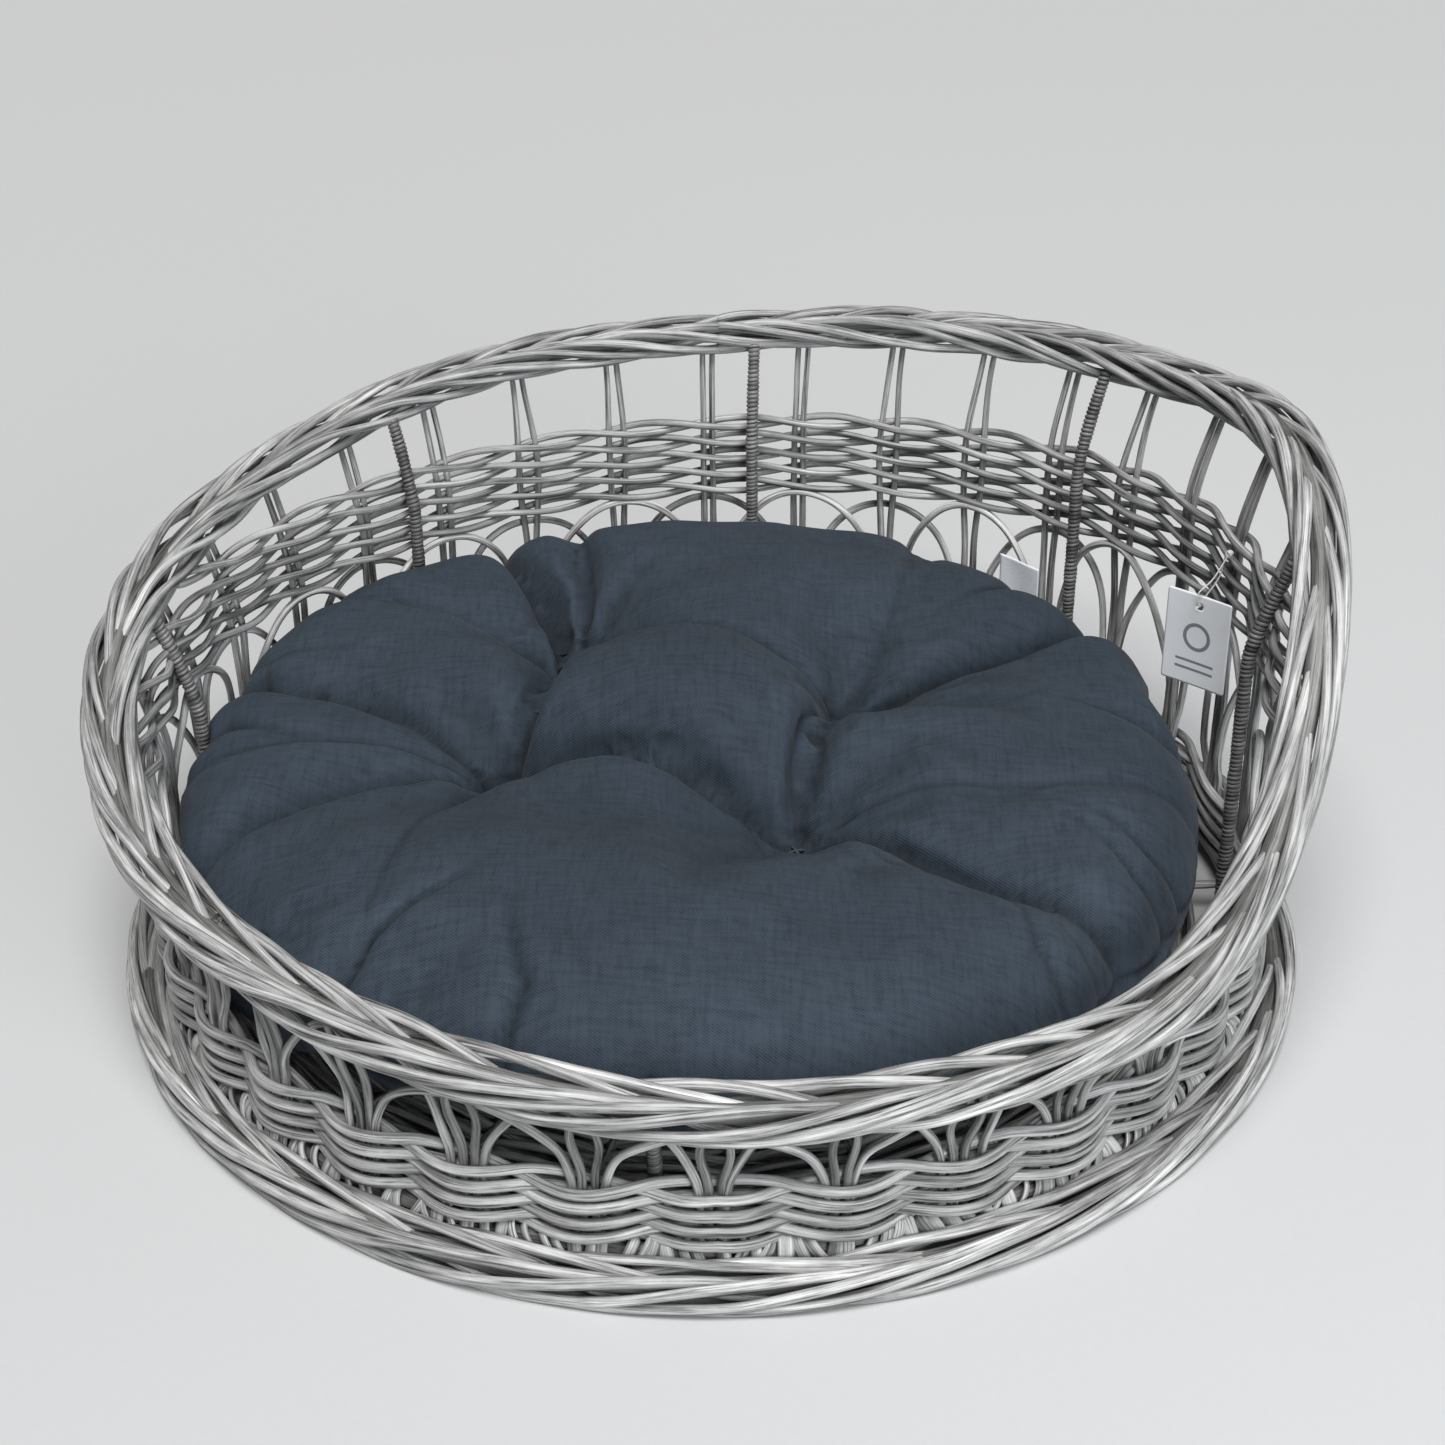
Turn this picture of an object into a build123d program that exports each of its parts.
"""A round wicker pet bed basket with a loose tufted cushion: high woven back, low front, braided rim.

Millimetres, +Z up, origin on the floor under the centre of the foot, +Y towards the high back.
Azimuths are degrees, 0 at the back (+Y) and 90 at the right (+X).
"""
import os
from math import cos, pi, radians, sin

from build123d import *

# Willow rods
BORDER_ROD = 4.6
LOWER_ROD = 4.2
BAND_ROD = 3.8
UPRIGHT_ROD = 3.8
ARCH_ROD = 3.6
BASE_ROD = 4.2
BASE_STICK = 6.0
GAP = 0.5  # air between neighbouring rods

# Layout of the wall: pairs of uprights, with a thick post after every fourth pair
PAIRS = 32
POSTS = 8
PITCH = 360 / PAIRS
TURN = 4.6  # the whole pattern sits turned by this much
WALL_RADIUS = 295.0
PAIR_SPREAD = 3.6  # half the distance between the two rods of a pair
BULGE = UPRIGHT_ROD / 2 + LOWER_ROD / 2 + GAP  # how far a weaver swings around an upright

# Foot border: rods rolled round a core hoop, worn flat underneath
FOOT_RADIUS = 311.5
FOOT_ROLL = 8.5
FOOT_RODS = 8
FOOT_WEAR = 0.6
FOOT_HEIGHT = FOOT_ROLL + BORDER_ROD / 2 - FOOT_WEAR

# Base: a wrapped hoop with radial sticks, woven through
HOOP_RADIUS = 294.5
HOOP_HEIGHT = 17.0
HOOP_ROD = 9.0
HOOP_WRAP = 12.0
WRAPS = 120
BASE_HEIGHT = 15.0
STICKS = 24
STICK_END = HOOP_RADIUS - HOOP_WRAP / 2 - 0.6
SHORT_STICK_START = 70.0

# Wall heights
LOWER_FIRST = 28.0
LOWER_PITCH = 8.8
LOWER_ROWS = 4
BAND_FIRST = 154.5
BAND_PITCH = 10.8
BAND_ROWS = 5
BAND_BULGE = UPRIGHT_ROD / 2 + BAND_ROD / 2 + GAP + 1.2
BAND_TILT_RIGHT = 17.0  # the band climbs towards the right
BAND_DIP_BACK = 19.0  # and dips at the back

# Posts: a stick wrapped with split cane, standing inside the weave
POST_RADIUS = 282.4
POST_STICK = 5.0
POST_WRAP = 7.6
POST_BOTTOM = 8.0

# Rim: rods plaited into a thick border that sweeps from the high back to the low front
RIM_RADIUS = 313.0
RIM_RODS = 9
RIM_CORE = 7.0
RIM_JOINTS = 61
RIM_HALF_WIDTH = 12.5
RIM_HALF_THICKNESS = 8.5
RIM_STATIONS = [  # azimuth and height of the middle of the rim
    (0, 232), (30, 248), (60, 262), (78, 272), (92, 252), (106, 194), (120, 137), (135, 110),
    (158, 110), (180, 112), (210, 128), (240, 146), (270, 180), (300, 199), (330, 221),
]

# Cushion: a filled round cover tied down at four points
CUSHION_RADIUS = 268.0
CUSHION_CENTRE = (-10.0, 0.0)
CUSHION_BOTTOM = 24.0
CUSHION_THICKNESS = 118.0
COVER_CLOTH = 1.6
TIE_CENTRE = (-18.0, 23.0)
TIE_HALF_X = 84.0
TIE_HALF_Y = 57.0
TIE_TURN = -17.0  # the four ties make a rectangle turned by this much
TIE_CORD = 2.4

# Care label, sewn into the cushion's seam
LABEL_AZIMUTH = 46.0
LABEL_LENGTH = 52.0
LABEL_WIDTH = 30.0
LABEL_CLOTH = 0.6

# Hang tag on a string tied to the woven band
TAG_CENTRE = (268.0, 49.0, 153.0)
TAG_WIDTH = 40.0
TAG_HEIGHT = 56.0
TAG_CARD = 0.8
TAG_YAW = -40.0  # it faces the low front, turned towards the middle
TAG_HOLE = 4.0
TAG_HOLE_RISE = 21.0  # from the middle of the card to the middle of its hole
STRING = 1.0
STRING_AZIMUTH = 80.0
STRING_TOP = 205.5


def polar(radius, azimuth, height):
    """The point at an azimuth in degrees, at a radius and a height."""
    return Vector(radius * sin(radians(azimuth)), radius * cos(radians(azimuth)), height)


def rod(points, diameter):
    """A round bar through the points, mitred where it turns."""
    line = Polyline(*points)
    end = Plane(origin=line @ 0, z_dir=line % 0) * Circle(diameter / 2)
    return sweep(end, path=line, transition=Transition.RIGHT)


def straight_rod(start, end, diameter):
    """A round bar from one point to another."""
    length = (end - start).length
    place = Plane(origin=start, z_dir=end - start)
    return place * Pos(0, 0, length / 2) * Cylinder(diameter / 2, length)


def hoop(radius, height, diameter):
    """A closed round hoop lying level."""
    return Pos(0, 0, height) * Torus(radius, diameter / 2)


def torus_arc(radius, diameter, angle):
    """A bar bent to part of a circle about the origin, starting on the X axis."""
    return Torus(radius, diameter / 2, major_angle=angle, align=None)


def spread(count, start, end):
    """Evenly spaced values from start to end, both included."""
    return [start + (end - start) * i / (count - 1) for i in range(count)]


def rim_height(azimuth):
    """Height of the middle of the rim, a smooth curve through its stations."""
    a = azimuth % 360
    stations = RIM_STATIONS + [(360 + x, z) for x, z in RIM_STATIONS[:2]]
    before = [(RIM_STATIONS[-1][0] - 360, RIM_STATIONS[-1][1])]
    all_stations = before + stations
    i = max(k for k in range(1, len(all_stations) - 2) if all_stations[k][0] <= a)
    (x0, z0), (x1, z1), (x2, z2), (x3, z3) = all_stations[i - 1:i + 3]
    slope_1 = (z2 - z0) / (x2 - x0)
    slope_2 = (z3 - z1) / (x3 - x1)
    span = x2 - x1
    t = (a - x1) / span
    rise = (2 * t**3 - 3 * t**2 + 1) * z1 + (3 * t**2 - 2 * t**3) * z2
    return rise + (t**3 - 2 * t**2 + t) * span * slope_1 + (t**3 - t**2) * span * slope_2


def band_height(azimuth, row):
    """Height of a row of the upper woven band, which tilts a little round the basket."""
    tilt = BAND_TILT_RIGHT * sin(radians(azimuth)) - BAND_DIP_BACK * cos(radians(azimuth))
    return BAND_FIRST + row * BAND_PITCH + tilt


def rim_underside(azimuth):
    """Height of the lowest surface of the rim."""
    return rim_height(azimuth) - RIM_HALF_THICKNESS - BORDER_ROD / 2


def pair_azimuth(k):
    """Azimuth of the middle of a pair of uprights."""
    return TURN + (k + 0.5) * PITCH


def post_azimuth(k):
    """Azimuth of a post."""
    return TURN + k * 360 / POSTS


def lower_row(row):
    """A full row of the lower wall: one weaver outside the uprights and one inside."""
    height = LOWER_FIRST + row * LOWER_PITCH
    return [hoop(WALL_RADIUS + side * BULGE, height, LOWER_ROD) for side in (1, -1)]


def band_end(row, direction):
    """Azimuth where a band row meets the underside of the rim, to the left or to the right."""
    azimuth = 0.0
    room = BAND_ROD / 2 + 4 * GAP
    while band_height(azimuth, row) + room < rim_underside(azimuth):
        azimuth += direction * 0.5
    return azimuth - direction * 0.5


def band_row(row):
    """A row of the upper band, one weaver outside and one inside, which both end under the rim."""
    left = band_end(row, -1)
    right = band_end(row, 1)
    slopes = (BAND_TILT_RIGHT / WALL_RADIUS, -BAND_DIP_BACK / WALL_RADIUS)
    place = Plane(
        origin=(0, 0, BAND_FIRST + row * BAND_PITCH),
        x_dir=polar(1, right, 0),
        z_dir=(-slopes[0], -slopes[1], 1),
    )
    weavers = [WALL_RADIUS + side * BAND_BULGE for side in (1, -1)]
    return [place * torus_arc(radius, BAND_ROD, right - left) for radius in weavers]


def upright(azimuth):
    """A rod standing on the base hoop, leaning out above the wall to the underside of the rim."""
    top = rim_underside(azimuth) - GAP
    foot = HOOP_HEIGHT + HOOP_WRAP / 2 + GAP
    lean_from = LOWER_FIRST + LOWER_ROWS * LOWER_PITCH
    lean = 0.0
    if top > band_height(azimuth, BAND_ROWS - 1):
        lean_from = band_height(azimuth, BAND_ROWS - 1) + BAND_PITCH / 2
        lean = max(0.0, 0.22 * (top - lean_from))
    knee = polar(WALL_RADIUS, azimuth, min(lean_from, top - 4))
    lower = straight_rod(polar(WALL_RADIUS, azimuth, foot), knee, UPRIGHT_ROD)
    upper = straight_rod(knee, polar(WALL_RADIUS + lean, azimuth, top), UPRIGHT_ROD)
    return lower + Pos(knee) * Sphere(UPRIGHT_ROD / 2) + upper


def uprights():
    """The pairs of uprights round the wall."""
    offset = PAIR_SPREAD / WALL_RADIUS * 180 / pi
    return [upright(pair_azimuth(k) + side * offset) for k in range(PAIRS) for side in (-1, 1)]


def post_line(k):
    """Foot and head of a post, which stands upright just inside the weave, up to the rim's height."""
    azimuth = post_azimuth(k)
    head = rim_underside(azimuth) - GAP
    return polar(POST_RADIUS, azimuth, POST_BOTTOM), polar(POST_RADIUS, azimuth, head)


def post_sticks():
    """The cores of the posts."""
    return [straight_rod(*post_line(k), POST_STICK) for k in range(POSTS)]


def post_wraps():
    """The sleeves of split cane wound round the posts."""
    sleeves = []
    for k in range(POSTS):
        foot, head = post_line(k)
        sleeve = straight_rod(foot, head, POST_WRAP) - straight_rod(foot, head, POST_STICK + 0.3)
        sleeves.append(sleeve)
    return sleeves


def arch(k, radius, drop):
    """An arched rod over pair k, its straight legs beside the neighbouring pairs."""
    shoulder = (PAIR_SPREAD + UPRIGHT_ROD / 2 + ARCH_ROD / 2 + GAP) / WALL_RADIUS
    middle = pair_azimuth(k)
    half = radius * sin(radians(PITCH) - shoulder)
    set_back = radius * cos(radians(PITCH) - shoulder)
    under_band = band_height(middle, 0) - BAND_ROD
    crown = min(under_band, rim_lowest(middle - PITCH, middle + PITCH)) - ARCH_ROD - drop
    foot = LOWER_FIRST + LOWER_PITCH / 2
    leg = crown - half - foot
    legs = [Pos(side * half, 0, foot + leg / 2) * Cylinder(ARCH_ROD / 2, leg) for side in (-1, 1)]
    bow = Pos(0, 0, foot + leg) * Rot(90, 0, 0) * torus_arc(half, ARCH_ROD, 180)
    place = Rot(0, 0, -middle) * Pos(0, set_back, 0)
    return place * (bow + legs[0] + legs[1])


def rim_lowest(left, right):
    """The lowest underside of the rim between two azimuths."""
    return min(rim_underside(a) for a in spread(5, left, right))


def tall_arches():
    """The inner arches, over every even pair."""
    return [arch(k, WALL_RADIUS, 0.0) for k in range(0, PAIRS, 2)]


def low_arches():
    """The outer arches, over every odd pair, a little lower."""
    outside = WALL_RADIUS + BULGE + LOWER_ROD / 2 + ARCH_ROD / 2 + 2 * GAP
    return [arch(k, outside, 4.0) for k in range(1, PAIRS, 2)]


def foot_rods():
    """The rods of the foot border, worn flat where they touch the floor."""
    below = Pos(0, 0, -10) * Cylinder(FOOT_RADIUS + 40, 20)
    rods = []
    for j in range(FOOT_RODS):
        turn = radians(-90 + j * 360 / FOOT_RODS)
        height = FOOT_HEIGHT + FOOT_ROLL * sin(turn)
        rods.append(hoop(FOOT_RADIUS + FOOT_ROLL * cos(turn), height, BORDER_ROD) - below)
    return rods


def rim_rod(out, up, diameter):
    """A rod that follows the rim all the way round, out from its middle and up from it."""
    azimuths = spread(RIM_JOINTS, 0.15, 359.85)
    return rod([polar(RIM_RADIUS + out, a, rim_height(a) + up) for a in azimuths], diameter)


def rim_rods():
    """The rods of the rim border, all round its core."""
    rods = []
    for j in range(RIM_RODS):
        turn = radians(-90 + j * 360 / RIM_RODS)
        rods.append(rim_rod(RIM_HALF_WIDTH * cos(turn), RIM_HALF_THICKNESS * sin(turn), BORDER_ROD))
    return rods


def base_wraps():
    """Short sleeves of split willow round the base hoop."""
    length = 2 * pi * HOOP_RADIUS / WRAPS - 1.0
    sleeve = Cylinder(HOOP_WRAP / 2, length) - Cylinder(HOOP_ROD / 2 + 0.3, length)
    sleeve = Rot(0, 90, 0) * sleeve
    place = [i * 360 / WRAPS for i in range(WRAPS)]
    return [Rot(0, 0, -a) * Pos(0, HOOP_RADIUS, HOOP_HEIGHT) * sleeve for a in place]


def base_sticks(start, first):
    """Every other radial stick of the base, from a starting radius to the hoop."""
    step = 360 / STICKS
    azimuths = [TURN + step / 2 + (2 * k + first) * step for k in range(STICKS // 2)]
    return [
        straight_rod(polar(start, a, BASE_HEIGHT), polar(STICK_END, a, BASE_HEIGHT), BASE_STICK)
        for a in azimuths
    ]


def base_weavers(radii):
    """Weavers round the base sticks, one above and one below at each radius."""
    offset = BASE_STICK / 2 + BASE_ROD / 2 + GAP
    return [hoop(r, BASE_HEIGHT + side * offset, BASE_ROD) for r in radii for side in (-1, 1)]


def puff(inset):
    """A round pillow shape, the same all round, drawn in from the cushion's outside by an inset."""
    radius = CUSHION_RADIUS - inset
    half = CUSHION_THICKNESS / 2 - inset
    flat = radius - half
    with BuildPart() as pillow:
        with BuildSketch(Plane.XZ):
            with BuildLine():
                Line((0, -half), (flat, -half))
                ThreePointArc((flat, -half), (radius, 0), (flat, half))
                Line((flat, half), (0, half))
                Line((0, half), (0, -half))
            make_face()
        revolve(axis=Axis.Z)
    place = Pos(CUSHION_CENTRE[0], CUSHION_CENTRE[1], CUSHION_BOTTOM + CUSHION_THICKNESS / 2)
    return place * pillow.part


def tie_places():
    """Where the four ties go through the cushion."""
    corners = [(i * TIE_HALF_X, j * TIE_HALF_Y) for i in (-1, 1) for j in (-1, 1)]
    turned = [Vector(x, y, 0).rotate(Axis.Z, TIE_TURN) for x, y in corners]
    return [(TIE_CENTRE[0] + p.X, TIE_CENTRE[1] + p.Y) for p in turned]


def drilled(body, diameter):
    """A cushion layer with the holes that the ties go through."""
    middle = CUSHION_BOTTOM + CUSHION_THICKNESS / 2
    for x, y in tie_places():
        body = body - Pos(x, y, middle) * Cylinder(diameter / 2, 2 * CUSHION_THICKNESS)
    return body


def cushion_cover():
    """The cloth cover, a shell round the filling."""
    return drilled(puff(0) - puff(COVER_CLOTH), TIE_CORD + 0.8)


def cushion_filling():
    """The loose filling inside the cover."""
    return drilled(puff(COVER_CLOTH + 0.4), TIE_CORD + 0.8)


def tuft_ties():
    """Four cords through the cushion, each with a flat knot above and below."""
    ties = []
    for x, y in tie_places():
        middle = CUSHION_BOTTOM + CUSHION_THICKNESS / 2
        cord = Pos(x, y, middle) * Cylinder(TIE_CORD / 2, CUSHION_THICKNESS + 1.2)
        top = Pos(x, y, middle + CUSHION_THICKNESS / 2 + 1.2) * Cylinder(5, 1.6)
        under = Pos(x, y, middle - CUSHION_THICKNESS / 2 - 0.8) * Cylinder(5, 0.8)
        ties.append(cord + top + under)
    return ties


def care_label():
    """A small cloth label that stands out of the cushion's edge."""
    reach = CUSHION_RADIUS + 1.2
    flap = Pos(0, 0, LABEL_LENGTH / 2) * Box(LABEL_WIDTH, LABEL_CLOTH, LABEL_LENGTH)
    x, y = CUSHION_CENTRE
    direction = polar(1, LABEL_AZIMUTH, 0)
    place = Pos(x + direction.X * reach, y + direction.Y * reach, CUSHION_BOTTOM + CUSHION_THICKNESS / 2)
    return place * Rot(0, 0, -LABEL_AZIMUTH) * flap


def tag_place():
    """Where the card hangs: its own X runs across it and its own Z up it."""
    return Pos(*TAG_CENTRE) * Rot(0, 0, TAG_YAW)


def hang_tag():
    """A card tag with a round hole near its top edge."""
    card = Box(TAG_WIDTH, TAG_CARD, TAG_HEIGHT)
    hole = Pos(0, 0, TAG_HOLE_RISE) * Rot(90, 0, 0) * Cylinder(TAG_HOLE / 2, 4 * TAG_CARD)
    return tag_place() * (card - hole)


def tag_string():
    """A thin string from the woven band over the card, through its hole and back behind it."""
    inner = WALL_RADIUS - BAND_BULGE - BAND_ROD / 2
    over = TAG_HEIGHT / 2 + 2.5
    through = TAG_HOLE_RISE + 0.9
    on_card = [(-3.0, over), (-1.6, through), (1.6, through), (3.0, TAG_HOLE_RISE + 6)]
    points = [polar(inner - 3, STRING_AZIMUTH, STRING_TOP)]
    for depth, height in on_card:
        points.append((tag_place() * Pos(0, depth, height)).position)
    points.append(polar(inner - 1, STRING_AZIMUTH, STRING_TOP))
    return rod(points, STRING)


def solids_of(shapes):
    """The separate solids of a piece or of a list of pieces."""
    listed = shapes if isinstance(shapes, list) else [shapes]
    return [solid for shape in listed for solid in shape.solids()]


NODES = {
    "base_hoop": hoop(HOOP_RADIUS, HOOP_HEIGHT, HOOP_ROD),
    "base_hoop_wraps": base_wraps(),
    "base_sticks_long": base_sticks(16, 0),
    "base_sticks_short": base_sticks(SHORT_STICK_START, 1),
    "base_centre_binding": base_weavers([23]),
    "base_weave_inner": base_weavers([40, 52, 64]),
    "base_weave_outer": base_weavers(spread(9, 84, 268)),
    "foot_core": hoop(FOOT_RADIUS, FOOT_HEIGHT, 2 * FOOT_ROLL - BORDER_ROD - 2 * GAP),
    "foot_border_rods": foot_rods(),
    "post_sticks": post_sticks(),
    "post_wraps": post_wraps(),
    "uprights": uprights(),
    "tall_arches": tall_arches(),
    "low_arches": low_arches(),
    "rim_core": rim_rod(0, 0, RIM_CORE),
    "rim_border_rods": rim_rods(),
    "cushion_cover": cushion_cover(),
    "cushion_filling": cushion_filling(),
    "tuft_ties": tuft_ties(),
    "care_label": care_label(),
    "hang_tag": hang_tag(),
    "tag_string": tag_string(),
}
for number in range(LOWER_ROWS):
    NODES[f"lower_weave_row_{number + 1}"] = lower_row(number)
for number in range(BAND_ROWS):
    NODES[f"upper_weave_row_{number + 1}"] = band_row(number)

os.makedirs("parts", exist_ok=True)
for name, shapes in NODES.items():
    export_step(Compound(children=solids_of(shapes), label=name), f"parts/{name}.step")
